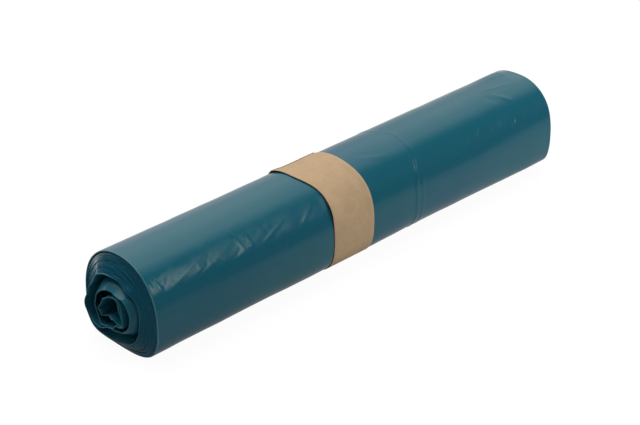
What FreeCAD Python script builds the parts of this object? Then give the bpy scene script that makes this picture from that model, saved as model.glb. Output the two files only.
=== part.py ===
import FreeCAD, Part
import Sketcher
import math
import os

# A coreless roll of bin bags, held by a glued paper band, as it lies on its flat spot.
# Millimetres: X along the roll with the pushed-out turns at -X, Z up from the floor, origin under
# the middle. The section of the roll is in Y and Z, and its back is at +Y.
# One modelled turn stands for a pack of real turns of film. The way they are wound is the real one.

V = FreeCAD.Vector

# Driving sizes: name, value, meaning
SIZES = (
    ("roll_length", 350.0, "rim to rim, the width that the bags are folded to"),
    ("roll_width", 65.0, "across the roll at its widest"),
    ("crown_height", 31.0, "centre of the round crown above the floor, where its sides turn upright"),
    ("front_corner", 19.0, "radius of the lower corner at the front, where the roll settles"),
    ("back_corner", 11.0, "radius of the lower corner at the back, where it settles more"),
    ("press_depth", 0.7, "how much of the outer turn the floor presses flat"),
    ("pack_thickness", 1.5, "one modelled turn"),
    ("turn_gap", 0.3, "slit between two turns where they are tight"),
    ("loosening", 0.26, "share of the winding's depth that opens up towards the core"),
    ("tail_ply", 0.3, "thickness of the web's outer end"),
    ("tail_angle", -27.0, "where that end lies on the back, in degrees above level"),
    ("core_width", 23.0, "the collapsed hollow, across"),
    ("core_depth", 15.0, "the collapsed hollow, up and down"),
    ("core_height", 29.0, "middle of the hollow above the floor"),
    ("core_fold", 0.2, "how three-cornered the hollow is, as a share of its size"),
    ("pushed_out", 8.0, "how far the inner turns are pushed out at the near end"),
    ("pushed_radius", 22.0, "round the turns that are pushed out, where they leave the rest"),
    ("pushed_shift", 3.0, "how far those turns lie towards the back"),
    ("tip_radius", 12.0, "round the turns that are pushed out the furthest"),
    ("fold_from_rim", 216.5, "fold line of the web, from the near rim"),
    ("fold_ridge_width", 1.6, "the raised fold line, along the roll"),
    ("fold_ridge_height", 0.3, "the raised fold line, above the film"),
    ("fold_ridge_root", 1.0, "how deep the raised fold line is rooted in the film"),
    ("fold_ridge_foot", 11.0, "where the fold line ends above the floor"),
    ("band_from_rim", 139.0, "near edge of the paper band, from the near rim"),
    ("band_width", 36.0, "paper band, along the roll"),
    ("paper_thickness", 0.35, "paper of the band"),
    ("band_clearance", 0.1, "between the band and the film all round"),
    ("seat_clearance", 0.5, "either side of the band in the dent that it presses underneath"),
    ("lap_length", 16.0, "glued lap of the band"),
    ("lap_angle", 48.0, "middle of the lap on the back of the crown, in degrees above level"),
    ("lap_ramp", 3.0, "where the upper end of the paper bends down past the lower one"),
)

ARCS_PER_TURN = 32
STRAIGHT = 0.01  # a stretch of film that bulges less than this is drawn as a line
CORE_CORNERS = 3
SPARE = 10.0  # how far the cutting tools reach past what they cut
ACROSS = FreeCAD.Rotation(V(0, 1, 0), V(0, 0, 1), V(1, 0, 0))  # sketch x to Y, y to Z

# Places that several pieces share, as expressions on the sheet
NEAR_RIM = "(sizes.pushed_out - sizes.roll_length) / 2"
FAR_RIM = "(sizes.pushed_out + sizes.roll_length) / 2"
NEAR_TIP = "-(sizes.pushed_out + sizes.roll_length) / 2"
BAND_START = f"{NEAR_RIM} + sizes.band_from_rim"
BAND_GROWTH = "(sizes.band_clearance + sizes.paper_thickness)"


def make_sheet(doc):
    """The spreadsheet of driving sizes, one aliased cell each."""
    sheet = doc.addObject("Spreadsheet::Sheet", "sizes")
    for row, (name, value, meaning) in enumerate(SIZES, start=1):
        sheet.set(f"A{row}", name)
        sheet.set(f"B{row}", str(value))
        sheet.set(f"C{row}", meaning)
        sheet.setAlias(f"B{row}", name)
    doc.recompute()
    return sheet


def outline_point(sheet, angle):
    """Point of the roll's outline in a direction from the crown's centre, as (y, z)."""
    half = sheet.roll_width / 2
    centre = sheet.crown_height
    y, z = math.cos(angle), math.sin(angle)
    if z >= 0:
        return half * y, centre + half * z
    corner = sheet.back_corner if y > 0 else sheet.front_corner
    drop = centre + sheet.press_depth
    side = drop - corner
    if half * -z <= abs(y) * side:
        return math.copysign(half, y), centre + half * z / abs(y)
    if abs(y) * drop <= (half - corner) * -z:
        return drop * y / -z, centre - drop
    to_corner = V(math.copysign(half - corner, y), -side, 0)
    along = to_corner.dot(V(y, z, 0))
    reach = along + math.sqrt(along**2 - to_corner.Length**2 + corner**2)
    return reach * y, centre + reach * z


def core_point(sheet, angle):
    """Point of the collapsed hollow in a direction from its middle: an oval pulled to corners."""
    pull = 1 + sheet.core_fold * math.cos(CORE_CORNERS * (angle - math.pi / 2))
    y = sheet.core_width / 2 * pull * math.cos(angle)
    z = sheet.core_height + sheet.core_depth / 2 * pull * math.sin(angle)
    return y, z


def winding_depth(sheet):
    """Film between the outline and the hollow, measured level."""
    return (sheet.roll_width - sheet.core_width) / 2


def tail_turn(sheet):
    """Turn at which the outer ply is as thick as the web's end: it thickens up to turn 1."""
    return (sheet.tail_ply + sheet.turn_gap) / (sheet.pack_thickness + sheet.turn_gap)


def inner_turns(sheet):
    """Turns between the outer ply and the hollow."""
    pitch = sheet.pack_thickness + sheet.turn_gap
    return (1 - sheet.loosening) * winding_depth(sheet) / pitch


def web_point(sheet, turn, depth):
    """Point of the winding at a turn, depth running from 0 on the outline to 1 on the hollow."""
    angle = math.radians(sheet.tail_angle) + 2 * math.pi * (turn - tail_turn(sheet))
    outer_y, outer_z = outline_point(sheet, math.atan2(math.sin(angle), math.cos(angle)))
    core_y, core_z = core_point(sheet, angle)
    y = outer_y + (core_y - outer_y) * depth
    z = outer_z + (core_z - outer_z) * depth
    return V(0, y, z)


def outer_depth(sheet, turn):
    """Depth of the web's outer face: on the outline up to turn 1, then further in each turn."""
    share = max(turn - 1, 0) / inner_turns(sheet)
    return (1 - sheet.loosening) * share + sheet.loosening * share**3


def inner_depth(sheet, turn):
    """Depth of the web's inner face: the outer ply thins out towards the web's end."""
    pack = sheet.pack_thickness / winding_depth(sheet)
    gap = sheet.turn_gap / winding_depth(sheet)
    if turn >= 1:
        return outer_depth(sheet, turn) + pack
    return (pack + gap) * turn - gap


def spiral_edges(sheet, depth_at):
    """One face of the web: arcs through points of the winding, and lines where it is straight."""
    first = tail_turn(sheet)
    last = 1 + inner_turns(sheet)
    count = math.ceil((last - first) * ARCS_PER_TURN)
    step = (last - first) / count

    def point(index):
        turn = first + index * step
        return web_point(sheet, turn, depth_at(sheet, turn))

    edges = []
    for index in range(count):
        here, middle, there = point(index), point(index + 0.5), point(index + 1)
        if middle.distanceToLine(here, there - here) < STRAIGHT:
            edges.append(Part.LineSegment(here, there).toShape())
        else:
            edges.append(Part.Arc(here, middle, there).toShape())
    return edges


def make_web_section(doc, sheet):
    """The wound web in section: a strip that spirals from its outer end to the hollow."""
    outer = spiral_edges(sheet, outer_depth)
    inner = spiral_edges(sheet, inner_depth)
    outer_end = Part.LineSegment(outer[0].Vertexes[0].Point, inner[0].Vertexes[0].Point)
    core_end = Part.LineSegment(outer[-1].Vertexes[-1].Point, inner[-1].Vertexes[-1].Point)
    edges = [*outer, core_end.toShape(), *inner, outer_end.toShape()]
    section = doc.addObject("Part::Feature", "web_section")
    section.Shape = Part.Face(Part.Wire(Part.__sortEdges__(edges)))
    section.Visibility = False
    return section


def drive(sketch, kind, side, place, text):
    """Ties one coordinate of a side's start (1), end (2) or centre (3) to an expression."""
    value = sketch.evalExpression(text)
    number = sketch.addConstraint(Sketcher.Constraint(kind, -1, 1, side, place, value))
    sketch.setExpression(f"Constraints[{number}]", text)


def sketch_point(sketch, place):
    """Where a pair of expressions puts a point of a sketch."""
    return V(sketch.evalExpression(place[0]), sketch.evalExpression(place[1]), 0)


def add_side(sketch, here, there, centre):
    """Line, or the shorter arc about a centre. Returns which of its ends starts the side."""
    if centre is None:
        sketch.addGeometry(Part.LineSegment(here, there), False)
        return 1
    start = math.atan2(here.y - centre.y, here.x - centre.x)
    end = math.atan2(there.y - centre.y, there.x - centre.x)
    circle = Part.Circle(centre, V(0, 0, 1), (here - centre).Length)
    sweep = (end - start) % (2 * math.pi)
    if sweep < math.pi * 1.001:
        sketch.addGeometry(Part.ArcOfCircle(circle, start, start + sweep), False)
        return 1
    sketch.addGeometry(Part.ArcOfCircle(circle, end, end + 2 * math.pi - sweep), False)
    return 2


def add_loop(sketch, sides):
    """Closed loop of sides, each given by its start (x, y) and, for an arc, its centre (x, y)."""
    first = sketch.GeometryCount
    points = [sketch_point(sketch, place) for place, _ in sides]
    starts = []
    for index, (_, centre) in enumerate(sides):
        there = points[(index + 1) % len(points)]
        middle = sketch_point(sketch, centre) if centre else None
        starts.append(add_side(sketch, points[index], there, middle))
        if centre:
            drive(sketch, "DistanceY", first + index, 3, centre[1])
    for index, ((x, y), _) in enumerate(sides):
        side, following = index, (index + 1) % len(sides)
        drive(sketch, "DistanceX", first + side, starts[side], x)
        drive(sketch, "DistanceY", first + side, starts[side], y)
        meeting = (first + side, 3 - starts[side], first + following, starts[following])
        sketch.addConstraint(Sketcher.Constraint("Coincident", *meeting))


def outline_sides(growth, floor):
    """The roll's outline grown by a distance all round and cut level at a height."""
    half = f"(sizes.roll_width / 2 + {growth})"
    crown = "sizes.crown_height"

    def corner(size):
        middle = f"(sizes.roll_width / 2 - {size})"
        height = f"({size} - sizes.press_depth)"
        foot = f"({middle} + sqrt(({size} + {growth})^2 - ({height} - {floor})^2))"
        return middle, height, foot

    front_middle, front_height, front_foot = corner("sizes.front_corner")
    back_middle, back_height, back_foot = corner("sizes.back_corner")
    return [
        ((half, crown), ("0", crown)),
        ((f"-{half}", crown), None),
        ((f"-{half}", front_height), (f"-{front_middle}", front_height)),
        ((f"-{front_foot}", floor), None),
        ((back_foot, floor), (back_middle, back_height)),
        ((half, back_height), None),
    ]


def lap_sides():
    """The second layer of paper in the lap, rooted in the first, with a ramp at its upper end."""
    root = "(sizes.roll_width / 2 + sizes.band_clearance + sizes.paper_thickness / 2)"
    top = f"(sizes.roll_width / 2 + {BAND_GROWTH} + sizes.paper_thickness)"

    def polar(radius, along):
        angle = f"(sizes.lap_angle * 1 deg + ({along}) / {root} * 1 rad)"
        return f"{radius} * cos({angle})", f"sizes.crown_height + {radius} * sin({angle})"

    lower = "-sizes.lap_length / 2"
    upper = "sizes.lap_length / 2"
    bend = "sizes.lap_length / 2 - sizes.lap_ramp"
    centre = ("0", "sizes.crown_height")
    return [
        (polar(root, lower), None),
        (polar(top, lower), centre),
        (polar(top, bend), None),
        (polar(root, upper), centre),
    ]


def make_sketch(doc, name, place, loops):
    """A sketch across the roll at a place along it."""
    sketch = doc.addObject("Sketcher::SketchObject", name)
    sketch.Placement = FreeCAD.Placement(V(0, 0, 0), ACROSS)
    sketch.setExpression("Placement.Base.x", place)
    for sides in loops:
        add_loop(sketch, sides)
    sketch.Visibility = False
    return sketch


def extrude(doc, name, base, length):
    """A solid drawn along X from a section."""
    solid = doc.addObject("Part::Extrusion", name)
    solid.Base = base
    solid.DirMode = "Custom"
    solid.Dir = V(1, 0, 0)
    solid.Solid = True
    solid.setExpression("LengthFwd", length)
    return solid


def combine(doc, kind, name, base, tool):
    """A boolean of two solids: Part::Cut, Part::Common or Part::Fuse."""
    result = doc.addObject(kind, name)
    result.Base = base
    result.Tool = tool
    return result


def make_box(doc, name, start, length, bottom, height):
    """A block that is wider than the roll, from a place along it and between two heights."""
    box = doc.addObject("Part::Box", name)
    box.setExpression("Placement.Base.x", start)
    box.setExpression("Length", length)
    box.setExpression("Placement.Base.y", f"-sizes.roll_width / 2 - {SPARE}")
    box.setExpression("Width", f"sizes.roll_width + 2 * {SPARE}")
    box.setExpression("Placement.Base.z", bottom)
    box.setExpression("Height", height)
    return box


def make_pushed_cone(doc, name, rim):
    """The cone of the pushed-out turns, from a rim of the roll towards -X."""
    cone = doc.addObject("Part::Cone", name)
    cone.Placement = FreeCAD.Placement(V(0, 0, 0), FreeCAD.Rotation(V(0, 0, 1), V(-1, 0, 0)))
    cone.setExpression("Placement.Base.x", rim)
    cone.setExpression("Placement.Base.y", "sizes.pushed_shift")
    cone.setExpression("Placement.Base.z", "sizes.core_height")
    cone.setExpression("Radius1", "sizes.pushed_radius")
    cone.setExpression("Radius2", "sizes.tip_radius")
    cone.setExpression("Height", "sizes.pushed_out")
    return cone


def make_envelope(doc):
    """What the web fills: the room between its rims, above the floor and above the band's dent,
    with the inner turns pushed towards the near end."""
    height = f"sizes.crown_height + sizes.roll_width / 2 + {SPARE}"
    block = make_box(doc, "between_rims", NEAR_RIM, "sizes.roll_length", "0", height)
    near_cone = make_pushed_cone(doc, "pushed_out_turns", NEAR_RIM)
    far_cone = make_pushed_cone(doc, "dish_they_leave", FAR_RIM)
    start = f"{BAND_START} - sizes.seat_clearance"
    length = "sizes.band_width + 2 * sizes.seat_clearance"
    dent = make_box(doc, "band_dent", start, length, f"-{SPARE}", f"{SPARE} + {BAND_GROWTH}")
    with_near_end = combine(doc, "Part::Fuse", "near_end", block, near_cone)
    with_both_ends = combine(doc, "Part::Cut", "both_ends", with_near_end, far_cone)
    return combine(doc, "Part::Cut", "envelope", with_both_ends, dent)


def make_fold_ridge(doc):
    """The raised fold line, a ring of three-sided section that is rooted in the outer ply."""
    middle = f"{NEAR_RIM} + sizes.fold_from_rim"
    sunk = "(-sizes.fold_ridge_height / 2)"
    reach = "sizes.fold_ridge_width * 3 / 4"
    start = f"{middle} - {reach} - {SPARE}"
    length = f"2 * ({reach} + {SPARE})"

    def ring(name, place, growth):
        return make_sketch(doc, name, place, [outline_sides(growth, "sizes.fold_ridge_foot / 2")])

    ridge = doc.addObject("Part::Loft", "fold_ridge_outside")
    ridge.Sections = [
        ring("fold_ridge_near", f"{middle} - {reach}", sunk),
        ring("fold_ridge_crest", middle, "sizes.fold_ridge_height"),
        ring("fold_ridge_far", f"{middle} + {reach}", sunk),
    ]
    ridge.Solid = True
    ridge.Ruled = True
    root = ring("fold_ridge_root_outline", start, "(-sizes.fold_ridge_root)")
    inside = extrude(doc, "fold_ridge_inside", root, length)
    all_round = combine(doc, "Part::Cut", "fold_ridge_ring", ridge, inside)
    foot = f"{SPARE} + sizes.fold_ridge_foot"
    below = make_box(doc, "below_fold_ridge", start, length, f"-{SPARE}", foot)
    return combine(doc, "Part::Cut", "fold_ridge", all_round, below)


def make_bag_roll(doc, sheet):
    """The wound web as one solid, with its ends, its fold line and the dent under the band."""
    length = "sizes.roll_length + sizes.pushed_out"
    web = extrude(doc, "web", make_web_section(doc, sheet), length)
    web.setExpression("Placement.Base.x", NEAR_TIP)
    trimmed = combine(doc, "Part::Common", "trimmed_web", web, make_envelope(doc))
    return combine(doc, "Part::Fuse", "bag_roll", trimmed, make_fold_ridge(doc))


def make_paper_band(doc):
    """The strip of paper round the roll, its ends glued one over the other on the back."""
    faces = [
        outline_sides(BAND_GROWTH, "0"),
        outline_sides("sizes.band_clearance", "sizes.paper_thickness"),
    ]
    around = make_sketch(doc, "band_section", BAND_START, faces)
    lap = make_sketch(doc, "lap_section", BAND_START, [lap_sides()])
    strip = extrude(doc, "band_strip", around, "sizes.band_width")
    upper_end = extrude(doc, "band_lap", lap, "sizes.band_width")
    return combine(doc, "Part::Fuse", "paper_band", strip, upper_end)


def check(doc, parts):
    """Stops if an object failed to compute or a sub-part is not one valid solid."""
    for item in doc.Objects:
        if "Invalid" in item.State or "Error" in item.State:
            raise RuntimeError(f"{item.Label} failed: {item.State}")
    for part in parts:
        if part.Shape.isNull() or not part.Shape.isValid() or len(part.Shape.Solids) != 1:
            raise RuntimeError(f"{part.Label} is not one valid solid")


def main():
    """Builds both sub-parts and writes each to its own file."""
    doc = FreeCAD.newDocument("bin_bag_roll")
    sheet = make_sheet(doc)
    parts = [make_bag_roll(doc, sheet), make_paper_band(doc)]
    doc.recompute()
    check(doc, parts)
    os.makedirs("parts", exist_ok=True)
    for part in parts:
        part.Shape.exportStep(f"parts/{part.Label}.step")
        box = part.Shape.BoundBox
        print(part.Label, round(part.Shape.Volume), "mm3", box)


main()
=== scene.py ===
"""The looks of a coreless roll of bin bags, held by a band of brown kraft paper.

The roll lies along X, with the end whose inner turns are pushed out at -X, its front at -Y and its
back at +Y. Sizes in this script are millimetres until a mesh, a lamp or the camera is made.
"""

import logging
import math
from dataclasses import dataclass, field
from enum import Enum

import bpy
import numpy as np
from mathutils import Matrix, Vector


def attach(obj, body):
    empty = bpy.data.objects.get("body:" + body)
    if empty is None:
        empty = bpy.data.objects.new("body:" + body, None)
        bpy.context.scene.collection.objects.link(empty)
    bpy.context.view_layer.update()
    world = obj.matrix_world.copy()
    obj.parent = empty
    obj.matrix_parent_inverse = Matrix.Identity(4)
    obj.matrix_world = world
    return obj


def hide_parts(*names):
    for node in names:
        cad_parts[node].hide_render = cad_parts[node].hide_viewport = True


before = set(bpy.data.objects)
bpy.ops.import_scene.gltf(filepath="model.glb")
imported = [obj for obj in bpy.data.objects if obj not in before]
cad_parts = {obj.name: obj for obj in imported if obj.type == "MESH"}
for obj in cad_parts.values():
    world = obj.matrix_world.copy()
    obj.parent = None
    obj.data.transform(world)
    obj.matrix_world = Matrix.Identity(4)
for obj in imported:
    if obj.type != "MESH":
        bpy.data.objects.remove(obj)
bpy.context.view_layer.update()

LOG = logging.getLogger("bin_bag_roll")
MM = 0.001
FULL_TURN = 2 * math.pi

Array = np.ndarray


def smooth_step(low: float | Array, high: float | Array, value: Array) -> Array:
    """Rises from 0 at low to 1 at high as 3 t squared less 2 t cubed.

    Args:
        low: Where the rise starts.
        high: Where it ends. It may be less than low, and then the step falls.
        value: The numbers to step.

    Returns:
        The share of the rise at each value.
    """
    share = np.clip((value - low) / (high - low), 0.0, 1.0)
    return share * share * (3.0 - 2.0 * share)


def bump(centre: float, reach: float, value: Array) -> Array:
    """A bell of height 1: e to the power of minus the squared distance in reaches."""
    return np.exp(-(((value - centre) / reach) ** 2))


def turned_from(facing: float, angle: Array) -> Array:
    """Angle from a direction in degrees, in radians between minus pi and pi."""
    return np.angle(np.exp(1j * (angle - math.radians(facing))))


def swell(
    rng: np.random.Generator, first: Array, second: Array, waves: tuple[float, float], count: int,
) -> Array:
    """Uneven ground of about unit height: a sum of sine waves in seeded directions.

    Args:
        rng: Where the directions, lengths and phases are drawn from.
        first: First coordinate of the points, in millimetres.
        second: Second coordinate.
        waves: Typical wavelength along each coordinate.
        count: Number of waves.

    Returns:
        The height at each point.
    """
    total = np.zeros(np.broadcast(first, second).shape)
    for _ in range(count):
        pull = rng.normal(0.0, 1.0, 2)
        phase = rng.uniform(0.0, FULL_TURN)
        total += np.sin(FULL_TURN * (pull[0] * first / waves[0] + pull[1] * second / waves[1]) + phase)
    return total / math.sqrt(count / 2)


@dataclass(frozen=True)
class Loop:
    """A creased turn of loose film: a polygon with soft corners.

    Attributes:
        corners: Direction of each corner in degrees from the back (+Y) up towards the crown, and
            its distance from the middle of the winding in millimetres, in order of direction.
        softness: How far a corner is rounded, in degrees.
    """

    corners: tuple[tuple[float, float], ...]
    softness: float = 3.0

    def radius(self, angle: Array) -> Array:
        """The polygon's distance in even directions, averaged with a bell of the softness.

        Args:
            angle: Directions, in radians.

        Returns:
            Distance from the middle in each direction.
        """
        turn, distance = np.array(self.corners).T
        y, z = distance * np.cos(np.radians(turn)), distance * np.sin(np.radians(turn))
        share = np.linspace(0.0, 1.0, 60, endpoint=False)[None, :]
        side_y = (y[:, None] + (np.roll(y, -1) - y)[:, None] * share).ravel()
        side_z = (z[:, None] + (np.roll(z, -1) - z)[:, None] * share).ravel()
        around = np.arctan2(side_z, side_y)
        order = np.argsort(around)
        even = np.radians(np.arange(720) / 2.0)
        length = np.interp(even, around[order], np.hypot(side_y, side_z)[order], period=FULL_TURN)
        reach = np.arange(-24, 25)
        weight = np.exp(-((reach / 2.0 / self.softness) ** 2))
        soft = sum(w * np.roll(length, r) for w, r in zip(weight / weight.sum(), reach))
        return np.interp(angle, even, soft, period=FULL_TURN)


@dataclass(frozen=True)
class Outline:
    """The roll's settled outline across its length: four quarters of superellipses.

    Each quarter is |y / a| to the n plus |z / b| to the n equals 1 about the widest point.

    Attributes:
        half_width: From the widest point to either side, in millimetres.
        widest_height: Height of the widest point above the floor.
        crown_rise: From there to the top.
        back_low: The power n of the quarter that is low at the back.
        front_low: Of the one that is low at the front.
        back_high: Of the one that is high at the back.
        front_high: Of the one that is high at the front.
        middle_y: The middle of the winding.
        middle_z: Its height.
        samples: Points of the outline.
    """

    half_width: float = 32.63
    widest_height: float = 27.52
    crown_rise: float = 35.74
    back_low: float = 5.18
    front_low: float = 2.91
    back_high: float = 2.10
    front_high: float = 2.24
    middle_y: float = 1.0
    middle_z: float = 29.0
    samples: int = 2880

    def curve(self) -> tuple[Array, Array]:
        """The outline, evenly turned about the widest point.

        Returns:
            y of its points, and their height above the floor.
        """
        turn = np.linspace(-math.pi, math.pi, self.samples, endpoint=False)
        across, upward = np.cos(turn), np.sin(turn)
        low = np.where(across > 0, self.back_low, self.front_low)
        high = np.where(across > 0, self.back_high, self.front_high)
        power = np.where(upward < 0, low, high)
        rise = np.where(upward < 0, self.widest_height, self.crown_rise)
        sum_of_powers = np.abs(across / self.half_width) ** power + np.abs(upward / rise) ** power
        radius = sum_of_powers ** (-1 / power)
        return radius * across, self.widest_height + radius * upward

    def radius(self, angle: Array) -> Array:
        """Reads the outline from the middle of the winding.

        Args:
            angle: Directions, in radians.

        Returns:
            Distance of the outline in each direction.
        """
        y, z = self.curve()
        y, z = y - self.middle_y, z - self.middle_z
        around = np.arctan2(z, y)
        order = np.argsort(around)
        return np.interp(angle, around[order], np.hypot(y, z)[order], period=FULL_TURN)

    def place(self, angle: Array, radius: Array) -> tuple[Array, Array]:
        """(y, z) at a distance from the middle of the winding."""
        return self.middle_y + radius * np.cos(angle), self.middle_z + radius * np.sin(angle)

    def arc(self, angle: Array) -> Array:
        """Measures along the outline.

        Args:
            angle: Directions, in radians.

        Returns:
            Length from the top of the middle, growing towards the front.
        """
        fine = np.linspace(-math.pi, 2 * math.pi, 3 * self.samples)
        y, z = self.place(fine, self.radius(fine))
        length = np.concatenate([[0.0], np.cumsum(np.hypot(np.diff(y), np.diff(z)))])
        return np.interp(angle, fine, length) - np.interp(math.pi / 2, fine, length)


@dataclass(frozen=True)
class Ends:
    """Where the turns end along the roll, and how the inner ones are pushed along it.

    Attributes:
        near_rim: The near edge of the outer turn.
        far_rim: Its far edge.
        crest: The loop where the tight turns end and the loose ones start.
        low_crest: How far the crest stands out at the front.
        high_crest: How far it stands out at the back.
        crest_facing: Where it stands out most, in degrees.
        inner: How far the innermost loop stands out.
        sweep: How late the push starts between the rim and the crest.
        facet: How much further out a creased place by the crest stands.
        facet_facing: Where that place is, in degrees.
    """

    near_rim: float = -171.0
    far_rim: float = 179.0
    crest: Loop = Loop((
        (3, 22.1), (15, 21.5), (34, 20.2), (52, 22.0), (68, 21.2), (86, 20.1), (103, 19.9), (117, 19.1),
        (131, 19.8), (145, 21.0), (157, 21.7), (170, 21.5), (187, 21.0), (209, 22.3), (226, 23.8),
        (241, 24.1), (270, 23.6), (288, 24.5), (301, 26.2), (314, 27.9), (325, 27.5), (340, 27.6),
        (347, 26.8), (355, 24.4),
    ), 2.2)
    low_crest: float = 3.2
    high_crest: float = 6.4
    crest_facing: float = 2.0
    inner: float = 7.4
    sweep: float = 1.5
    facet: float = 1.3
    facet_facing: float = 128.0

    def crest_push(self, angle: Array) -> Array:
        """How far the crest stands out of the rim in each direction."""
        back = (0.5 + 0.5 * np.cos(angle - math.radians(self.crest_facing))) ** 1.5
        return self.low_crest + (self.high_crest - self.low_crest) * back

    def push(self, angle: Array, radius: Array, outline: Array) -> Array:
        """How far a turn's near edge stands out of the rim, towards -X.

        Args:
            angle: Direction from the middle of the winding.
            radius: Distance of the turn from that middle.
            outline: Distance of the roll's outline from it.

        Returns:
            The distance, which grows from the rim to the crest and on to the innermost loop.
        """
        crest = self.crest.radius(angle)
        outside = np.clip((outline - radius) / (outline - crest), 0.0, 1.0)
        within = crest - radius
        inside = 0.8 * smooth_step(0.4, 3.0, within) + 0.2 * smooth_step(3.0, 9.0, within)
        top = self.crest_push(angle)
        facet = self.facet * bump(0.0, 0.2, turned_from(self.facet_facing, angle))
        facet = facet * smooth_step(4.5, 0.5, -within) * smooth_step(-3.0, 0.0, -within)
        return top * outside**self.sweep + (self.inner - top) * inside + facet


OUTLINE = Outline()
ENDS = Ends()


class Socket:
    """A shader socket that can be reckoned with: + - * and their reflected forms add Math nodes."""

    def __init__(self, shader: "Shader", socket: bpy.types.NodeSocket) -> None:
        self.shader = shader
        self.socket = socket

    def _math(self, operation: str, first: object, second: object) -> "Socket":
        """A Math node on two values."""
        return self.shader.node("ShaderNodeMath", {"operation": operation}, {0: first, 1: second})

    def __add__(self, other: object) -> "Socket":
        """This value plus another."""
        return self._math("ADD", self, other)

    def __radd__(self, other: object) -> "Socket":
        """Another value plus this one."""
        return self._math("ADD", other, self)

    def __sub__(self, other: object) -> "Socket":
        """This value less another."""
        return self._math("SUBTRACT", self, other)

    def __rsub__(self, other: object) -> "Socket":
        """Another value less this one."""
        return self._math("SUBTRACT", other, self)

    def __mul__(self, other: object) -> "Socket":
        """This value times another."""
        return self._math("MULTIPLY", self, other)

    def __rmul__(self, other: object) -> "Socket":
        """Another value times this one."""
        return self._math("MULTIPLY", other, self)

    def most(self, other: object) -> "Socket":
        """The larger of this value and another."""
        return self._math("MAXIMUM", self, other)

    def turned_to(self, other: object) -> "Socket":
        """The angle whose tangent is this value over another."""
        return self._math("ARCTAN2", self, other)

    def step(self, low: float, high: float, bottom: float = 0.0, top: float = 1.0) -> "Socket":
        """A smooth step of this value between two numbers.

        Args:
            low: Where the step starts.
            high: Where it ends. It may be less than low.
            bottom: What it gives up to its start.
            top: What it gives past its end.

        Returns:
            The stepped value.
        """
        settings = {"interpolation_type": "SMOOTHSTEP", "clamp": True}
        values = {"Value": self, "From Min": low, "From Max": high, "To Min": bottom, "To Max": top}
        return self.shader.node("ShaderNodeMapRange", settings, values)

    def beside(self, name: str) -> "Socket":
        """Another output of the same node."""
        return Socket(self.shader, self.socket.node.outputs[name])


class Shader:
    """Builds one node tree, empty at first."""

    def __init__(self, owner: bpy.types.Material | bpy.types.World) -> None:
        owner.use_nodes = True
        self.tree = owner.node_tree
        self.tree.nodes.clear()

    def node(
        self, kind: str, settings: dict | None = None, values: dict | None = None, output: int | str = 0,
    ) -> Socket:
        """Adds a node.

        Args:
            kind: The node's type.
            settings: Its properties, set first.
            values: Numbers, colours or sockets for its inputs, by name or number.
            output: The output that is returned.

        Returns:
            That output.
        """
        node = self.tree.nodes.new(kind)
        for name, setting in (settings or {}).items():
            setattr(node, name, setting)
        for name, value in (values or {}).items():
            if isinstance(value, Socket):
                self.tree.links.new(value.socket, node.inputs[name])
            else:
                node.inputs[name].default_value = value
        return Socket(self, node.outputs[output]) if len(node.outputs) else Socket(self, None)

    def noise(self, place: Socket, detail: float = 2.0, roughness: float = 0.5) -> Socket:
        """Even noise, about a half."""
        values = {"Vector": place, "Scale": 1.0, "Detail": detail, "Roughness": roughness}
        return self.node("ShaderNodeTexNoise", None, values)

    def stretched(self, place: Socket, scale: tuple[float, float, float], turn: float = 0.0) -> Socket:
        """A place with each coordinate scaled after a turn about Z, in degrees."""
        values = {"Vector": place, "Scale": scale, "Rotation": (0.0, 0.0, math.radians(turn))}
        return self.node("ShaderNodeMapping", {"vector_type": "POINT"}, values)

    def mixed(self, share: Socket | float, first: object, second: object) -> Socket:
        """A colour between two colours."""
        settings = {"data_type": "RGBA", "blend_type": "MIX"}
        return self.node("ShaderNodeMix", settings, {0: share, 6: first, 7: second}, 2)


def colour(red: float, green: float, blue: float) -> tuple[float, float, float, float]:
    """A colour with full cover."""
    return (red, green, blue, 1.0)


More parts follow.
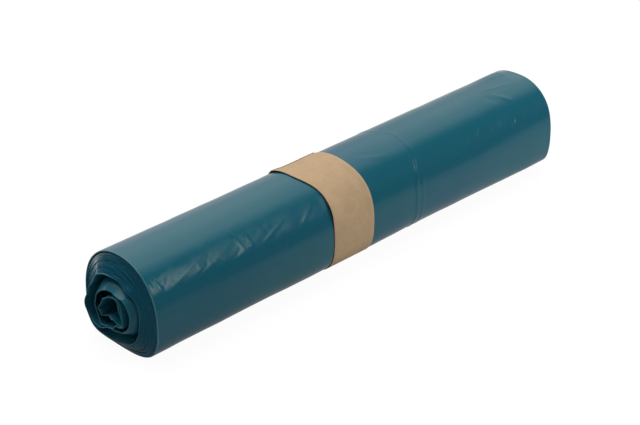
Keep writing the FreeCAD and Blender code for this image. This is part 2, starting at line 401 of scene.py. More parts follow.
@dataclass(frozen=True)
class FilmFinish:
    """Dark teal polyethylene film.

    Attributes:
        name: The material's name.
        tone: Colour of the film in thick layers.
        bluer: Colour where less light has gone through the layers.
        edge: Colour of a painted highlight along the folded edge at the near end.
        highlight_width: How far that painted highlight reaches, in millimetres.
        roughness: Of its gloss.
        crinkle: Height of the finest wrinkles, in millimetres.
        gloss: Specular level.
    """

    name: str
    tone: tuple[float, float, float, float] = colour(0.0104, 0.1045, 0.146)
    bluer: tuple[float, float, float, float] = colour(0.0108, 0.097, 0.149)
    edge: tuple[float, float, float, float] = colour(0.10, 0.27, 0.31)
    highlight_width: float = 0.8
    roughness: float = 0.12
    crinkle: float = 0.015
    gloss: float = 0.5

    def material(self) -> bpy.types.Material:
        """Gloss over a deep colour, fine wrinkles across and along the web, a painted highlight by its
        near edge.

        Returns:
            The material.
        """
        made = bpy.data.materials.new(self.name)
        shader = Shader(made)
        web = shader.node("ShaderNodeTexCoord", None, None, "UV")
        from_edge = shader.node("ShaderNodeSeparateXYZ", None, {0: web})
        clouds = shader.noise(shader.stretched(web, (9.0, 22.0, 1.0)), 3.0)
        along = shader.noise(shader.stretched(web, (60.0, 420.0, 1.0), 6.0))
        across = shader.noise(shader.stretched(web, (330.0, 70.0, 1.0), -9.0))
        height = (along + across) * 0.5
        relief = {"Height": height, "Distance": self.crinkle * MM, "Strength": 1.0}
        tone = shader.mixed(clouds.step(0.35, 0.7), self.tone, self.bluer)
        width = self.highlight_width * MM
        # Painted highlight: the colour turns paler in a band along the web's near edge, broken up by the
        # clouds
        pale = from_edge.step(width, width * 0.4) * clouds.step(0.3, 0.6, 0.45, 1.0)
        values = {
            "Base Color": shader.mixed(pale, tone, self.edge),
            "Roughness": clouds.step(0.3, 0.7, self.roughness * 0.85, self.roughness * 1.2),
            "Specular IOR Level": self.gloss,
            "Specular Tint": colour(0.92, 1.0, 0.8),
            "Normal": shader.node("ShaderNodeBump", None, relief),
        }
        surface = shader.node("ShaderNodeBsdfPrincipled", None, values)
        shader.node("ShaderNodeOutputMaterial", None, {"Surface": surface})
        return made


@dataclass(frozen=True)
class PaperFinish:
    """Brown kraft paper.

    Attributes:
        name: The material's name.
        tone: Colour of most of it.
        darker: Colour of its darker clouds and specks.
        paler: Colour of its fibres.
        roughness: Of its surface.
        fibre_height: How far the fibres stand up, in millimetres.
    """

    name: str
    tone: tuple[float, float, float, float] = colour(0.485, 0.34, 0.202)
    darker: tuple[float, float, float, float] = colour(0.45, 0.31, 0.182)
    paler: tuple[float, float, float, float] = colour(0.56, 0.41, 0.27)
    roughness: float = 0.75
    fibre_height: float = 0.03

    def material(self) -> bpy.types.Material:
        """Mottled brown with fibres that run round the band, and faint lines across them.

        Returns:
            The material.
        """
        made = bpy.data.materials.new(self.name)
        shader = Shader(made)
        sheet = shader.node("ShaderNodeTexCoord", None, None, "UV")
        mottle = shader.noise(shader.stretched(sheet, (150.0, 110.0, 1.0)), 4.0, 0.6)
        fibres = shader.noise(shader.stretched(sheet, (1500.0, 260.0, 1.0), 8.0), 3.0, 0.65)
        specks = shader.noise(shader.stretched(sheet, (900.0, 900.0, 1.0)))
        ribs = shader.noise(shader.stretched(sheet, (2.0, 900.0, 1.0)), 1.0)
        body = shader.mixed(mottle.step(0.32, 0.68), self.darker, self.tone)
        lit = shader.mixed(fibres.step(0.5, 0.78) * 0.55, body, self.paler)
        spotted = shader.mixed(specks.step(0.64, 0.8) * 0.4, lit, self.darker)
        height = fibres * 0.6 + mottle * 0.3 + ribs * 0.25
        relief = {"Height": height, "Distance": self.fibre_height * MM, "Strength": 1.0}
        values = {
            "Base Color": spotted,
            "Roughness": self.roughness,
            "Specular IOR Level": 0.3,
            "Normal": shader.node("ShaderNodeBump", None, relief),
        }
        surface = shader.node("ShaderNodeBsdfPrincipled", None, values)
        shader.node("ShaderNodeOutputMaterial", None, {"Surface": surface})
        return made


FILM = FilmFinish("film_outside")
TIGHT_EDGES = FilmFinish(
    "film_edges", tone=colour(0.003, 0.104, 0.168), bluer=colour(0.004, 0.096, 0.170),
    edge=colour(0.003, 0.104, 0.168), highlight_width=0.1, roughness=0.26, crinkle=0.02, gloss=0.45,
)
# A lighter copy of the film: painted light that brightens the shaded inner loops, with a painted highlight
# along their near edges
FOLDED_FILM_PAINTED_LIGHTER = FilmFinish(
    "film_folds_painted_lighter", tone=colour(0.014, 0.145, 0.200), bluer=colour(0.017, 0.132, 0.220),
    edge=colour(0.045, 0.190, 0.230), highlight_width=0.4, roughness=0.24, crinkle=0.04, gloss=0.5,
)
KRAFT = PaperFinish("kraft_paper")


class Closing(Enum):
    """How a grid's first direction is closed."""

    JOINED = "its last row meets its first"
    CAPPED = "a flat face closes its first and last rows"


def build_piece(name: str, points: Array, web: Array, closing: Closing, finish: FilmFinish | PaperFinish,
                node: str) -> bpy.types.Object:
    """Makes a closed piece from a grid that wraps round in its second direction.

    Args:
        name: The piece's name.
        points: Rows by columns by (x, y, z), in millimetres.
        web: The unrolled place of each point in metres, with one more column, and one more row
            where the rows are joined.
        closing: How the rows are closed.
        finish: What its surface is.
        node: The solid that the piece stands for.

    Returns:
        The piece, riding on the root.
    """
    rows, columns = points.shape[:2]
    joined = closing is Closing.JOINED
    row, column = np.meshgrid(np.arange(rows if joined else rows - 1), np.arange(columns), indexing="ij")
    corners = ((row, column), (row + 1, column), (row + 1, column + 1), (row, column + 1))
    quads = np.stack([(r % rows) * columns + c % columns for r, c in corners], -1).reshape(-1, 4)
    places = np.stack([web[r, c] for r, c in corners], -2).reshape(-1, 4, 2)
    flat = points.reshape(-1, 3) * MM
    a, b, c = flat[quads[:, 0]], flat[quads[:, 1]], flat[quads[:, 2]]
    inside_out = np.einsum("ij,ij->i", a, np.cross(b, c)).sum() < 0
    if inside_out:
        quads, places = quads[:, ::-1], places[:, ::-1]
    faces = quads.tolist()
    uv = places.reshape(-1, 2)
    if not joined:
        ring = np.arange(columns)
        last = (rows - 1) * columns + ring
        caps = [ring, last[::-1]] if not inside_out else [ring[::-1], last]
        faces += [cap.tolist() for cap in caps]
        uv = np.vstack([uv, np.zeros((2 * columns, 2))])
    mesh = bpy.data.meshes.new(name)
    mesh.from_pydata(flat.tolist(), [], faces)
    mesh.uv_layers.new(name="web").data.foreach_set("uv", uv.astype(np.float32).ravel())
    mesh.polygons.foreach_set("use_smooth", np.ones(len(faces), bool))
    mesh.materials.append(finish.material())
    mesh.update()
    piece = bpy.data.objects.new(name, mesh)
    bpy.context.scene.collection.objects.link(piece)
    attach(piece, "root")
    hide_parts(node)
    return piece


def rounded_edge(count: int) -> tuple[Array, Array]:
    """A half circle from the outer face to the inner one: how far out, and the share of the depth."""
    turn = np.linspace(0.0, math.pi, count + 2)[1:-1]
    return np.sin(turn), 0.5 - 0.5 * np.cos(turn)


@dataclass(frozen=True)
class Crease:
    """A raised or sunken line in the film, from one place to another on the unrolled web.

    Attributes:
        start: (x, arc) where it starts.
        end: (x, arc) where it ends.
        height: Of its middle, in millimetres.
        width: Half of its width.
    """

    start: tuple[float, float]
    end: tuple[float, float]
    height: float
    width: float

    def relief(self, x: Array, arc: Array) -> Array:
        """A bell across the line that tapers to nothing at both ends.

        Args:
            x: Place of the points along the roll.
            arc: Their place round it.

        Returns:
            The line's height at each point.
        """
        run = np.array(self.end) - np.array(self.start)
        length = float(np.hypot(*run))
        along = ((x - self.start[0]) * run[0] + (arc - self.start[1]) * run[1]) / length
        across = ((x - self.start[0]) * run[1] - (arc - self.start[1]) * run[0]) / length
        share = np.clip(along / length, 0.0, 1.0)
        past = along - share * length
        taper = np.sin(math.pi * share) ** 0.7
        return self.height * taper * np.exp(-((across / self.width) ** 2) - (past / self.width) ** 2)


@dataclass
class OuterTurn:
    """The outermost turn of film, from rim to rim, with its wrinkles, its fold line and its end.

    Attributes:
        thickness: Of the film's folded plies, in millimetres.
        round_steps: Rows round the roll.
        long_steps: Columns along its skin.
        rim_steps: Columns round each rim.
        inner_steps: Columns back along the inner face.
        tail_angle: Where the web's end lies, in degrees from the back.
        tail_step: How far the film drops past that end.
        fold_x: Where the fold line crosses the back and the underside.
        fold_sway: How much further along it runs over the front.
        fold_height: Of its ridge.
        second_crest: How far past the ridge its lower crest stands.
        pressed: How much of the relief the band takes away under it, as a share.
        near_count: Small wrinkles on the near half.
        far_count: Small wrinkles at the far end.
        seed: For the small wrinkles and the slow waves.
    """

    thickness: float = 0.9
    round_steps: int = 256
    long_steps: int = 352
    rim_steps: int = 5
    inner_steps: int = 6
    tail_angle: float = -27.0
    tail_step: float = 0.4
    fold_x: float = 45.5
    fold_sway: float = 5.6
    fold_height: float = 0.34
    second_crest: float = 5.4
    pressed: float = 0.85
    near_count: int = 46
    far_count: int = 26
    seed: int = 11

    def long_wrinkles(self) -> list[Crease]:
        """The wrinkles that stand out one by one, by place on the unrolled web."""
        return [
            Crease((-94.5, 24.0), (-92.0, 38.0), 0.20, 0.5),
            Crease((-106.0, 10.0), (-97.0, 42.0), 0.07, 0.8),
            Crease((-168.0, 25.0), (-164.5, 37.0), 0.10, 0.8),
            Crease((-163.5, 26.0), (-160.0, 36.0), -0.10, 0.8),
            Crease((-160.0, 38.0), (-132.0, 27.0), 0.09, 1.6),
            Crease((-136.0, 37.0), (-104.0, 27.0), 0.08, 1.8),
            Crease((-112.0, 39.0), (-74.0, 27.0), 0.08, 1.8),
            Crease((-84.0, 35.0), (-64.0, 28.0), 0.16, 1.0),
            Crease((-52.0, 35.0), (-39.0, 25.5), 0.16, 1.0),
            Crease((8.0, 6.0), (30.0, 16.0), -0.12, 2.0),
            Crease((10.0, 12.0), (34.0, 20.0), 0.12, 1.6),
            Crease((141.0, -7.0), (172.0, -2.0), 0.36, 1.0),
            Crease((150.0, 3.0), (177.0, -6.0), 0.22, 1.2),
            Crease((136.0, 4.0), (164.0, 9.0), 0.2, 1.2),
            Crease((139.0, 10.0), (152.0, 22.0), 0.3, 1.6),
            Crease((133.0, 9.0), (140.0, 19.0), -0.24, 1.6),
        ]

    def wrinkles(self) -> list[Crease]:
        """All the wrinkles, with small seeded ones on the near half and at the far end.

        Returns:
            The wrinkles.
        """
        rng = np.random.default_rng(self.seed)
        found = self.long_wrinkles()
        for _ in range(self.near_count):
            x = rng.uniform(-170.0, -52.0)
            arc = rng.uniform(23.0, 38.0)
            run = rng.uniform(5.0, 16.0)
            turn = rng.choice([rng.normal(78.0, 10.0), rng.normal(-28.0, 10.0)])
            reach = (run * math.cos(math.radians(turn)), run * math.sin(math.radians(turn)))
            height = rng.choice([-1.0, 1.0]) * rng.uniform(0.02, 0.08)
            found.append(Crease((x, arc), (x + reach[0], arc + reach[1]), height, rng.uniform(0.8, 1.8)))
        for _ in range(self.far_count):
            x = rng.uniform(90.0, 170.0)
            arc = rng.uniform(35.0, 41.0)
            run = rng.uniform(5.0, 11.0)
            turn = math.radians(rng.normal(-48.0, 9.0))
            height = rng.choice([-1.0, 1.0]) * rng.uniform(0.07, 0.18)
            end = (x + run * math.cos(turn), arc + run * math.sin(turn))
            found.append(Crease((x, arc), end, height, rng.uniform(0.8, 1.5)))
        return found

    def far_end(self, x: Array, arc: Array) -> Array:
        """The far end's low forms: a hump by the crown, a dip at the rim, a slope and a fuller corner.

        Each is a bell or a step round the roll, times a step along it.

        Args:
            x: Place of the points along the roll.
            arc: Their place round it.

        Returns:
            The forms' height at each point.
        """
        hump = 1.1 * bump(-8.0, 7.0, arc) * smooth_step(146.0, 160.0, x) * smooth_step(181.0, 168.0, x)
        dip = 0.9 * bump(-2.0, 10.0, arc) * smooth_step(166.0, 179.0, x)
        shoulder = smooth_step(4.0, 30.0, arc) * smooth_step(48.0, 32.0, arc)
        slope = 0.5 * shoulder * smooth_step(126.0, 150.0, x)
        corner = 1.1 * bump(77.0, 7.0, arc) * smooth_step(70.0, 170.0, x)
        return hump - dip + slope + corner

    def fold_line(self, x: Array, arc: Array) -> Array:
        """The web's fold: a sharp ridge, a shallow valley before it, and a lower crest past it.

        Args:
            x: Place of the points along the roll.
            arc: Their place round it.

        Returns:
            Its height at each point.
        """
        sway = smooth_step(-10.0, 8.0, arc) * smooth_step(48.0, 24.0, arc)
        past = x - self.fold_x - self.fold_sway * sway
        ridge = self.fold_height * bump(0.0, 0.9, past)
        valley = 0.14 * smooth_step(-16.0, 0.0, past) * smooth_step(1.0, 0.0, past)
        lower = 0.2 * bump(self.second_crest, 0.8, past) * smooth_step(34.0, 42.0, arc)
        return ridge - valley + lower

    def relief(self, x: Array, arc: Array) -> Array:
        """How far the film stands off the smooth outline: slow waves, wrinkles, forms and the fold.

        Args:
            x: Place of the points along the roll.
            arc: Their place round it.

        Returns:
            Its height at each point.
        """
        rng = np.random.default_rng(self.seed + 1)
        height = 0.10 * swell(rng, x, arc, (120.0, 60.0), 8)
        height += 0.035 * swell(rng, x, arc, (34.0, 90.0), 10)
        for crease in self.wrinkles():
            height += crease.relief(x, arc)
        return height + self.far_end(x, arc) + self.fold_line(x, arc)

    def build(self) -> bpy.types.Object:
        """Makes the turn: round the roll by rows, and by columns over the skin and back inside.

        Each point lies at the outline's distance, plus the relief, less its share of the thickness.

        Returns:
            The piece.
        """
        # The rows lie closer together over the front, where the wrinkles are
        base = np.linspace(-math.pi / 2, 1.5 * math.pi, 4000)
        arc = OUTLINE.arc(base)
        girth = arc[-1] - arc[0]
        weight = 1.0 + 1.3 * smooth_step(-20.0, 5.0, arc) * smooth_step(70.0, 50.0, arc)
        spread = np.concatenate([[0.0], np.cumsum(np.diff(arc) * weight[1:])])
        angle = np.interp(np.linspace(0.0, spread[-1], self.round_steps, endpoint=False), spread, base)
        arc = OUTLINE.arc(angle)
        out, share = rounded_edge(self.rim_steps)
        half = self.thickness / 2
        skin_x = np.linspace(ENDS.near_rim + half, ENDS.far_rim - half, self.long_steps)
        inner_x = skin_x[np.linspace(self.long_steps - 1, 0, self.inner_steps).astype(int)]
        far_rim = ENDS.far_rim - half + half * out
        near_rim = ENDS.near_rim + half - half * out[::-1]
        along = np.concatenate([skin_x, far_rim, inner_x, near_rim])
        depth = np.concatenate([np.zeros(self.long_steps), share, np.ones(self.inner_steps), share[::-1]])
        x, round_angle = np.broadcast_arrays(along[None, :], angle[:, None])
        height = self.relief(x, np.broadcast_to(arc[:, None], x.shape))
        height *= 1.0 - self.pressed * smooth_step(-35.0, -28.0, x) * smooth_step(8.0, 3.0, x)
        past_tail = (math.radians(self.tail_angle) - round_angle) % FULL_TURN
        height -= self.tail_step * smooth_step(0.0, 0.015, past_tail) * smooth_step(2.2, 0.0, past_tail)
        inward = depth[None, :]
        radius = OUTLINE.radius(round_angle) + height * (1.0 - inward) - inward * self.thickness
        y, z = OUTLINE.place(round_angle, radius)
        points = np.stack([x, y, np.maximum(z, 0.0)], -1)
        arc_loop = np.append(arc, arc[0] + girth)
        across = np.append(along, along[0]) - ENDS.near_rim
        web = np.stack(np.broadcast_arrays(across[None, :], arc_loop[:, None]), -1) * MM
        return build_piece("outer_turn", points, web, Closing.JOINED, FILM, "bag_roll")


@dataclass
class WoundTurns:
    """A spiral strip of folded film.

    Attributes:
        name: The piece's name.
        turns: How many turns it makes.
        start_angle: Where its inner end lies.
        thickness: Of the strip.
        edge_bulge: How far its rounded edges stand out.
        steps_per_turn: Rows in a turn.
        face_steps: Columns along each face.
        edge_steps: Columns round each edge.
        seed: For what is uneven in it.
        finish: What its surface is.
        set_in: How far its edges lie inside the outer turn's rims.
    """

    name: str
    turns: float
    start_angle: float
    thickness: float
    edge_bulge: float
    steps_per_turn: int
    face_steps: int
    edge_steps: int
    seed: int
    finish: FilmFinish
    set_in: float = 0.5

    def radius(self, angle: Array, turn: Array, x: Array) -> Array:
        """Distance of the strip's outer face from the middle of the winding."""
        raise NotImplementedError

    def uneven(self, angle: Array, turn: Array) -> Array:
        """How far the strip strays along the roll."""
        raise NotImplementedError

    def build(self) -> bpy.types.Object:
        """Makes the strip: along the winding by rows, round its own section by columns.

        Returns:
            The piece.
        """
        rows = int(self.turns * self.steps_per_turn)
        turn = np.linspace(0.0, self.turns, rows)
        angle = math.radians(self.start_angle) + FULL_TURN * turn
        out, share = rounded_edge(self.edge_steps)
        place = np.linspace(0.0, 1.0, self.face_steps)
        eased = 0.5 - 0.5 * np.cos(math.pi * place)
        flat = np.zeros(self.face_steps)
        station = np.concatenate([eased, np.ones(self.edge_steps), eased[::-1], np.zeros(self.edge_steps)])
        beyond = np.concatenate([flat, out, flat, -out[::-1]])
        depth = np.concatenate([flat, share, flat + 1.0, share[::-1]])
        # Each point is pushed by its own distance from the middle, so the folded edges slope as one face
        edge_radius = self.radius(angle, turn, np.full_like(turn, ENDS.near_rim - ENDS.inner))
        edge_radius = edge_radius[:, None] - self.thickness * depth[None, :]
        push = ENDS.push(angle[:, None], edge_radius, OUTLINE.radius(angle)[:, None])
        shift = self.uneven(angle, turn)[:, None] - push
        near = ENDS.near_rim + self.set_in + self.edge_bulge + shift
        far = ENDS.far_rim - self.set_in - self.edge_bulge + shift
        x = near + (far - near) * station[None, :] + self.edge_bulge * beyond[None, :]
        around = np.broadcast_to(angle[:, None], x.shape)
        radius = self.radius(around, np.broadcast_to(turn[:, None], x.shape), x)
        radius = radius - self.thickness * depth[None, :]
        y, z = OUTLINE.place(around, radius)
        points = np.stack([x, y, np.maximum(z, 0.0)], -1)
        length = np.concatenate([[0.0], np.cumsum(np.hypot(np.diff(y[:, 0]), np.diff(z[:, 0])))])
        across = np.append(x[0], x[0, 0]) - x[0].min()
        web = np.stack(np.broadcast_arrays(across[None, :], length[:, None]), -1) * MM
        return build_piece(self.name, points, web, Closing.CAPPED, self.finish, "bag_roll")


@dataclass
class TightTurns(WoundTurns):
    """The turns that lie on each other under the outermost one, down to the crest.

    Attributes:
        outer_depth: How far the last turn's face lies under the roll's outline.
        over_crest: How far the first turn's face lies outside the crest.
    """

    name: str = "tight_turns"
    turns: float = 9.0
    start_angle: float = -60.0
    thickness: float = 1.5
    edge_bulge: float = 0.07
    steps_per_turn: int = 220
    face_steps: int = 4
    edge_steps: int = 7
    seed: int = 21
    finish: FilmFinish = field(default_factory=lambda: TIGHT_EDGES)
    outer_depth: float = 0.75
    over_crest: float = 1.0

    def radius(self, angle: Array, turn: Array, x: Array) -> Array:
        """Evenly spaced between the crest and the outer turn.

        Args:
            angle: Direction from the middle of the winding.
            turn: Turns from the strip's inner end.
            x: Place along the roll, which makes no difference here.

        Returns:
            Distance of the outer face.
        """
        inner = ENDS.crest.radius(angle) + self.over_crest
        outer = OUTLINE.radius(angle) - self.outer_depth
        return inner + (outer - inner) * (turn / self.turns)

    def uneven(self, angle: Array, turn: Array) -> Array:
        """Slow waves along each turn, and a small offset from turn to turn.

        Args:
            angle: Direction from the middle of the winding.
            turn: Turns from the strip's inner end.

        Returns:
            How far the strip strays along the roll.
        """
        rng = np.random.default_rng(self.seed)
        y, z = 20 * np.cos(angle), 20 * np.sin(angle)
        slow = swell(rng, y + 40 * turn, z - 30 * turn, (34.0, 34.0), 8)
        return 0.16 * slow + 0.10 * swell(rng, turn * 10, angle * 3, (7.0, 12.0), 6)


@dataclass
class LooseTurns(WoundTurns):
    """The creased inner turns round the collapsed hollow, up to the crest.

    Attributes:
        underside: Direction in which the loops close up, in degrees.
        crown: Direction in which the hollow opens, in degrees.
        narrowing: How much narrower the hollow is inside the roll, as a share.
        apart: Between the faces of two loops that nearly touch.
        touching: Between the faces of two loops that lie on each other.
        to_second: The turns between which the strip passes from the hollow to the second loop.
        to_crest: The turns between which it passes from there to the crest.
    """

    name: str = "loose_turns"
    turns: float = 3.5
    start_angle: float = 120.0
    thickness: float = 0.9
    edge_bulge: float = 0.45
    steps_per_turn: int = 360
    face_steps: int = 16
    edge_steps: int = 6
    seed: int = 31
    # Painted light: this finish is the film made lighter, to brighten the loops where shade falls
    finish: FilmFinish = field(default_factory=lambda: FOLDED_FILM_PAINTED_LIGHTER)
    underside: float = 272.0
    crown: float = 108.0
    narrowing: float = 0.55
    apart: float = 1.6
    touching: float = 1.2
    to_second: tuple[float, float] = (1.27, 1.45)
    to_crest: tuple[float, float] = (2.45, 2.6)

    def loops(self) -> tuple[Loop, ...]:
        """The loops that the strip passes through, one turn after the other.

        Returns:
            The hollow's loop, the second one and the crest.
        """
        hollow = Loop((
            (14, 8.9), (35, 8.3), (56, 7.4), (98, 7.6), (126, 10.6), (147, 9.3), (178, 9.5),
            (215, 12.8), (234, 10.5), (255, 6.6), (300, 7.0), (318, 12.6), (332, 11.8),
            (342, 13.0), (355, 10.4),
        ), 1.8)
        second = Loop((
            (18, 13.9), (43, 12.8), (74, 12.4), (100, 12.3), (119, 13.6), (134, 15.9), (147, 16.6),
            (159, 16.6), (169, 16.6), (183, 16.6), (199, 16.7), (213, 16.0), (234, 15.3), (260, 13.8),
            (275, 13.6), (295, 15.4), (306, 17.6), (320, 17.0), (338, 15.6), (353, 15.2),
        ), 2.0)
        return hollow, second, ENDS.crest

    def radius(self, angle: Array, turn: Array, x: Array) -> Array:
        """On the hollow's loop for a turn and a quarter, and then on each of the others for a turn.

        Away from the near end the hollow narrows and its creases wander along the roll. Behind
        the rim the loops close up on each other by the floor, and over it they open until each
        lies against the next.

        Args:
            angle: Direction from the middle of the winding.
            turn: Turns from the strip's inner end.
            x: Place along the roll.

        Returns:
            Distance of the outer face.
        """
        rng = np.random.default_rng(self.seed)
        from_rim = x - ENDS.near_rim
        inside = np.maximum(from_rim, 0.0)
        wander = 0.16 * swell(rng, inside, angle * 0.0, (34.0, 1.0), 5) * smooth_step(0.0, 14.0, inside)
        loose = 1.0 - turn / self.turns
        hollow, second, crest = (loop.radius(angle + wander * loose) for loop in self.loops())
        hollow = hollow + smooth_step(0.7, 1.05, turn)
        low = bump(0.0, 0.75, turned_from(self.underside, angle))
        high = bump(0.0, 1.0, turned_from(self.crown, angle))
        crest = crest - 0.9 * (crest - second - self.apart) * low * smooth_step(-4.5, 5.0, from_rim)
        hollow = hollow + 0.85 * (second - self.apart - hollow) * high * smooth_step(-6.2, 1.0, from_rim)
        second = second - 0.8 * (second - hollow - self.touching) * low * smooth_step(-6.0, 4.0, from_rim)
        flare = (1.0 - low) * np.clip((from_rim + 6.2) / 6.0, 0.0, 1.0)
        second = second + 0.95 * (crest - self.touching - second) * flare
        past_hollow = smooth_step(*self.to_second, turn)
        past_second = smooth_step(*self.to_crest, turn)
        total = hollow * (1.0 - past_hollow) + second * past_hollow * (1.0 - past_second)
        total = total + crest * past_second
        narrow = smooth_step(5.0, 40.0, inside) * smooth_step(346.0, 300.0, inside)
        narrow = self.narrowing * narrow * (1.0 - past_hollow)
        crumple = 0.3 * swell(rng, angle * 9.0, inside + 25 * turn, (16.0, 26.0), 10)
        return total * (1.0 - narrow) + crumple * smooth_step(3.0, 2.2, turn) + 0.4 * past_second

    def uneven(self, angle: Array, turn: Array) -> Array:
        """The loose turns stray more, and each differs from the next.

        Args:
            angle: Direction from the middle of the winding.
            turn: Turns from the strip's inner end.

        Returns:
            How far the strip strays along the roll.
        """
        rng = np.random.default_rng(self.seed + 1)
        slow = swell(rng, 22 * np.cos(angle) + 30 * turn, 22 * np.sin(angle) - 25 * turn, (36.0, 36.0), 8)
        return 0.35 * slow * smooth_step(3.2, 2.4, turn)


@dataclass
class PaperBand:
    """The strip of kraft paper round the roll, its ends glued one over the other at the back.

    Attributes:
        near: Where its near edge lies at the back and the underside.
        far: Where its far edge lies there.
        near_skew: How far the near edge is drawn along the roll over the front.
        far_skew: How far the far edge is.
        thickness: Of the paper.
        clearance: Between the paper and the film.
        lap_angle: Where the middle of the lap lies, in degrees from the back.
        lap_length: How far one end lies over the other.
        lap_radius: The roll's radius there.
        glue: Between the lap's two layers.
        rows: Rows round the roll.
        face_steps: Columns along each face.
        edge_steps: Columns round each edge.
        seed: For its waves.
    """

    near: float = -29.5
    far: float = 5.2
    near_skew: float = -6.5
    far_skew: float = -3.4
    thickness: float = 0.35
    clearance: float = 0.12
    lap_angle: float = 48.0
    lap_length: float = 16.0
    lap_radius: float = 33.0
    glue: float = 0.05
    rows: int = 420
    face_steps: int = 26
    edge_steps: int = 4
    seed: int = 41

    def edges(self, arc: Array) -> tuple[Array, Array]:
        """The band sits a little askew over the crown: each edge is a step there and one back.

        Args:
            arc: Place round the roll.

        Returns:
            Where the near edge lies along the roll, and where the far one does.
        """
        near = self.near + self.near_skew * smooth_step(27.0, 2.0, arc) * smooth_step(-34.0, -10.0, arc)
        far = self.far + self.far_skew * smooth_step(40.0, 2.0, arc) * smooth_step(-60.0, -30.0, arc)
        return near, far

    def lift(self, from_near: Array, from_far: Array, x: Array, arc: Array) -> Array:
        """Lifts the paper: its near edge gapes over the crown and the front, in three bells.

        Args:
            from_near: Distance from the near edge.
            from_far: Distance from the far edge.
            x: Place along the roll.
            arc: Place round it.

        Returns:
            How far the paper stands off the film.
        """
        rng = np.random.default_rng(self.seed)
        gape = 0.9 * bump(-13.0, 8.0, arc) + 0.4 * bump(8.0, 12.0, arc) + 1.4 * bump(36.0, 9.0, arc)
        near_edge = gape * smooth_step(11.0, 0.0, from_near)
        far_edge = 0.45 * smooth_step(5.0, 0.0, from_far) * bump(25.0, 26.0, arc)
        waves = 0.06 * (1.0 + swell(rng, x, arc, (40.0, 30.0), 8))
        return near_edge + far_edge + np.maximum(waves, 0.0)

    def build(self) -> bpy.types.Object:
        """Makes the strip: round the roll by rows, across its own section by columns.

        Returns:
            The piece.
        """
        half_lap = self.lap_length / 2 / self.lap_radius
        start = math.radians(self.lap_angle) - half_lap
        angle = np.linspace(start, start + FULL_TURN + 2 * half_lap, self.rows)
        over = smooth_step(start + FULL_TURN - 0.06, start + FULL_TURN + 0.03, angle)
        arc = OUTLINE.arc(np.where(angle > 1.5 * math.pi, angle - FULL_TURN, angle))
        out, share = rounded_edge(self.edge_steps)
        half = self.thickness / 2
        flat = np.zeros(self.face_steps)
        face = np.linspace(0.0, 1.0, self.face_steps)
        station = np.concatenate([face, np.ones(self.edge_steps), face[::-1], np.zeros(self.edge_steps)])
        beyond = np.concatenate([flat, out, flat, -out[::-1]])
        depth = np.concatenate([flat, share, flat + 1.0, share[::-1]])
        near, far = self.edges(arc)
        near, far = near[:, None] + half, far[:, None] - half
        x = near + (far - near) * station[None, :] + half * beyond[None, :]
        around = np.broadcast_to(angle[:, None], x.shape)
        arcs = np.broadcast_to(arc[:, None], x.shape)
        floor_gap = smooth_step(-0.5, 0.6, np.sin(around))
        lift = self.lift(x - near, far - x, x, arcs)
        stand = self.clearance + lift * floor_gap + over[:, None] * (self.thickness + self.glue)
        radius = OUTLINE.radius(around) + stand + self.thickness * (1.0 - depth[None, :])
        y, z = OUTLINE.place(around, radius)
        points = np.stack([x, y, np.maximum(z, 0.0)], -1)
        length = np.concatenate([[0.0], np.cumsum(np.hypot(np.diff(y[:, 0]), np.diff(z[:, 0])))])
        across = np.append(x[0], x[0, 0])
        web = np.stack(np.broadcast_arrays(across[None, :], length[:, None]), -1) * MM
        closing = Closing.CAPPED
        return build_piece("paper_sleeve", points, web, closing, KRAFT, "paper_band")


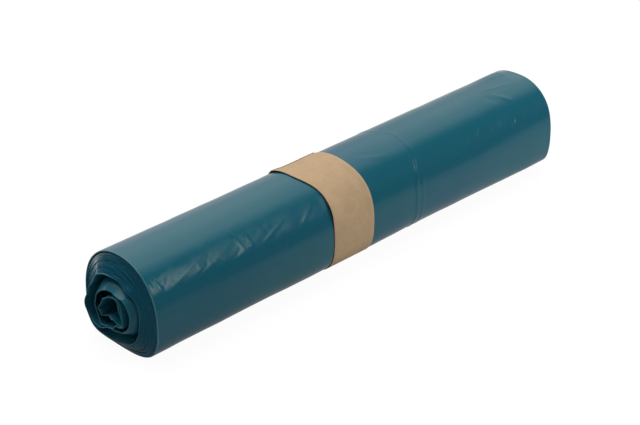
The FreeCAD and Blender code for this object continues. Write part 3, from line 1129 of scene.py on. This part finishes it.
@dataclass
class Studio:
    """Floor, light and camera.

    Attributes:
        camera_place: In millimetres.
        camera_turn: Which way it looks round the upright axis, in degrees.
        camera_height: How far it looks down, in degrees.
        focal_pixels: Its focal length in pixels of the photo.
        frame_pixels: Width of the photo.
        sensor: Width of its sensor in millimetres.
        floor_reach: From the middle of the floor to its sides, in metres.
        floor_white: How bright the floor is to the camera in the deepest shadow.
        floor_shade: How much light on it adds to that.
    """

    camera_place: tuple[float, float, float] = (-726.75, -727.09, 596.99)
    camera_turn: float = -44.6
    camera_height: float = 29.15
    focal_pixels: float = 1856.98
    frame_pixels: float = 640.0
    sensor: float = 36.0
    floor_reach: float = 6.0
    floor_white: float = 0.95
    floor_shade: float = 0.07

    def build_camera(self) -> None:
        """A camera at the photo's viewing angle, with no shift."""
        data = bpy.data.cameras.new("camera")
        data.sensor_fit = "HORIZONTAL"
        data.sensor_width = self.sensor
        data.lens = self.focal_pixels / self.frame_pixels * self.sensor
        data.clip_start, data.clip_end = 0.01, 50.0
        camera = bpy.data.objects.new("camera", data)
        around, above = math.radians(self.camera_turn), math.radians(self.camera_height)
        level = math.cos(above)
        back = Vector((math.sin(around) * level, -math.cos(around) * level, math.sin(above)))
        right = Vector((math.cos(around), math.sin(around), 0.0))
        turned = Matrix((right, back.cross(right), back)).transposed()
        camera.matrix_world = Matrix.Translation(Vector(self.camera_place) * MM) @ turned.to_4x4()
        bpy.context.scene.collection.objects.link(camera)
        bpy.context.scene.camera = camera

    def build_world(self) -> None:
        """Makes the light all round.

        It is white to the camera. The gloss mirrors a wide soft light over the roll, which falls
        off behind it, and a narrow streak low over the near half, both dimmer past the near end.
        What isn't gloss gets an even light that grows along the roll.
        """
        world = bpy.data.worlds.new("studio")
        bpy.context.scene.world = world
        shader = Shader(world)
        direction = shader.node("ShaderNodeTexCoord", None, None, "Generated")
        parts = shader.node("ShaderNodeSeparateXYZ", None, {0: direction})
        lengthways, sideways, height = parts, parts.beside("Y"), parts.beside("Z")
        # The angle round the roll from the level in front of it, up over it and down behind it
        above = height.turned_to(0.0 - sideways)
        rise = above.step(math.radians(60), math.radians(98), 0.0, 0.95)
        rise = rise * lengthways.step(0.55, 0.66, 1.14, 0.96)
        mirrored = rise + above.step(math.radians(98), math.radians(125), 0.0, 0.06)
        mirrored = mirrored - above.step(math.radians(130), math.radians(165), 0.0, 0.38)
        # The streak fades in three steps along the roll, and its upper edge climbs
        fading = lengthways.step(0.534, 0.546, 2.6, 0.9) - lengthways.step(0.548, 0.6, 0.0, 0.66)
        fading = fading - lengthways.step(0.598, 0.618, 0.0, 0.24)
        upper_edge = 0.916 + (lengthways - 0.542) * 5.87
        streak = above.step(math.radians(15), math.radians(28)) * (upper_edge - above).step(0.0, 0.06)
        mirrored = mirrored + streak * fading
        by_the_end = lengthways.step(-0.4, -0.1, 0.05, 1.0).most(height.step(0.15, 0.45, 0.0, 0.22))
        mirrored = mirrored * by_the_end
        soft = lengthways.step(-1.0, 1.0, 0.13, 0.76)
        camera_ray = shader.node("ShaderNodeLightPath")
        glossy_ray = camera_ray.beside("Is Glossy Ray")
        strength = glossy_ray * mirrored + (1.0 - glossy_ray) * soft
        shown = camera_ray + (1.0 - camera_ray) * strength
        light = shader.node("ShaderNodeBackground", None, {"Color": colour(1, 1, 1), "Strength": shown})
        shader.node("ShaderNodeOutputWorld", None, {"Surface": light})

    def build_floor(self) -> None:
        """A pale floor: white to the camera but for the roll's faint shadow, and dimmer in the gloss.

        In front of the roll the gloss sees it brighten towards the roll and along it. Behind the
        roll it sees a bright patch by the near end and a dimmer floor further along.
        """
        reach = self.floor_reach
        corners = [(-reach, -reach, 0), (reach, -reach, 0), (reach, reach, 0), (-reach, reach, 0)]
        mesh = bpy.data.meshes.new("floor")
        mesh.from_pydata(corners, [], [(0, 1, 2, 3)])
        made = bpy.data.materials.new("floor")
        shader = Shader(made)
        camera_ray = shader.node("ShaderNodeLightPath")
        glossy_ray = camera_ray.beside("Is Glossy Ray")
        place = shader.node("ShaderNodeNewGeometry", None, None, "Position")
        parts = shader.node("ShaderNodeSeparateXYZ", None, {0: place})
        lengthways, sideways = parts, parts.beside("Y")
        near_to_far = lengthways.step(-0.2, -0.16, 0.05, 0.3) + lengthways.step(-0.16, 0.12, 0.0, 0.16)
        in_front = sideways.step(-0.30, -0.05, 0.1, 1.0) * sideways.step(0.05, 0.0) * near_to_far
        by_the_end = lengthways.step(-0.33, -0.25) * lengthways.step(-0.15, -0.2)
        by_the_end = by_the_end * sideways.step(0.12, 0.2, 0.0, 2.4)
        behind = by_the_end + lengthways.step(-0.15, -0.09, 0.0, 0.6)
        mirrored = in_front + behind * sideways.step(0.0, 0.05)
        paler = shader.mixed(lengthways.step(-0.2, 0.2), colour(0.4, 0.4, 0.4), colour(0.85, 0.85, 0.85))
        pale = shader.node("ShaderNodeBsdfDiffuse", None, {"Color": paler})
        dim = shader.node("ShaderNodeEmission", None, {"Color": colour(1, 1, 1), "Strength": mirrored})
        shade = colour(self.floor_shade, self.floor_shade, self.floor_shade)
        shaded = shader.node("ShaderNodeBsdfDiffuse", None, {"Color": shade})
        white = shader.node(
            "ShaderNodeEmission", None, {"Color": colour(1, 1, 1), "Strength": self.floor_white})
        bright = shader.node("ShaderNodeAddShader", None, {0: shaded, 1: white})
        lit = shader.node("ShaderNodeMixShader", None, {0: glossy_ray, 1: pale, 2: dim})
        surface = shader.node("ShaderNodeMixShader", None, {0: camera_ray, 1: lit, 2: bright})
        shader.node("ShaderNodeOutputMaterial", None, {"Surface": surface})
        mesh.materials.append(made)
        floor = bpy.data.objects.new("floor", mesh)
        bpy.context.scene.collection.objects.link(floor)

    def add_softbox(
        self, name: str, place: tuple[float, float, float], size: tuple[float, float], radiance: float,
    ) -> None:
        """A rectangular lamp that faces the roll, and that the gloss doesn't show.

        Args:
            name: Its name.
            place: Its middle, in millimetres.
            size: Its width and height, in millimetres.
            radiance: How bright its face is, where 1 is white.
        """
        data = bpy.data.lights.new(name, "AREA")
        data.shape = "RECTANGLE"
        data.size, data.size_y = size[0] * MM, size[1] * MM
        data.energy = radiance * math.pi * data.size * data.size_y
        lamp = bpy.data.objects.new(name, data)
        where = Vector(place) * MM
        aim = (Vector((-0.05, 0.0, 0.03)) - where).to_track_quat("-Z", "Y")
        lamp.matrix_world = Matrix.Translation(where) @ aim.to_matrix().to_4x4()
        lamp.visible_glossy = False
        bpy.context.scene.collection.objects.link(lamp)

    def build(self) -> None:
        """Makes the whole studio."""
        bpy.context.scene.view_settings.view_transform = "Standard"
        self.build_camera()
        self.build_world()
        self.build_floor()
        self.add_softbox("overhead", (0.0, 450.0, 1400.0), (1500.0, 1500.0), 2.6)
        self.add_softbox("front_fill", (400.0, -320.0, 170.0), (260.0, 200.0), 2.05)
        self.add_softbox("front_soft", (500.0, -850.0, 500.0), (330.0, 560.0), 2.7)


def main() -> None:
    """Builds the pieces in order and reports each."""
    logging.basicConfig(level=logging.INFO, format="%(name)s: %(message)s")
    Studio().build()
    for maker in (OuterTurn(), TightTurns(), LooseTurns(), PaperBand()):
        piece = maker.build()
        LOG.info("%s has %d faces", piece.name, len(piece.data.polygons))


if __name__ == "__main__":
    main()
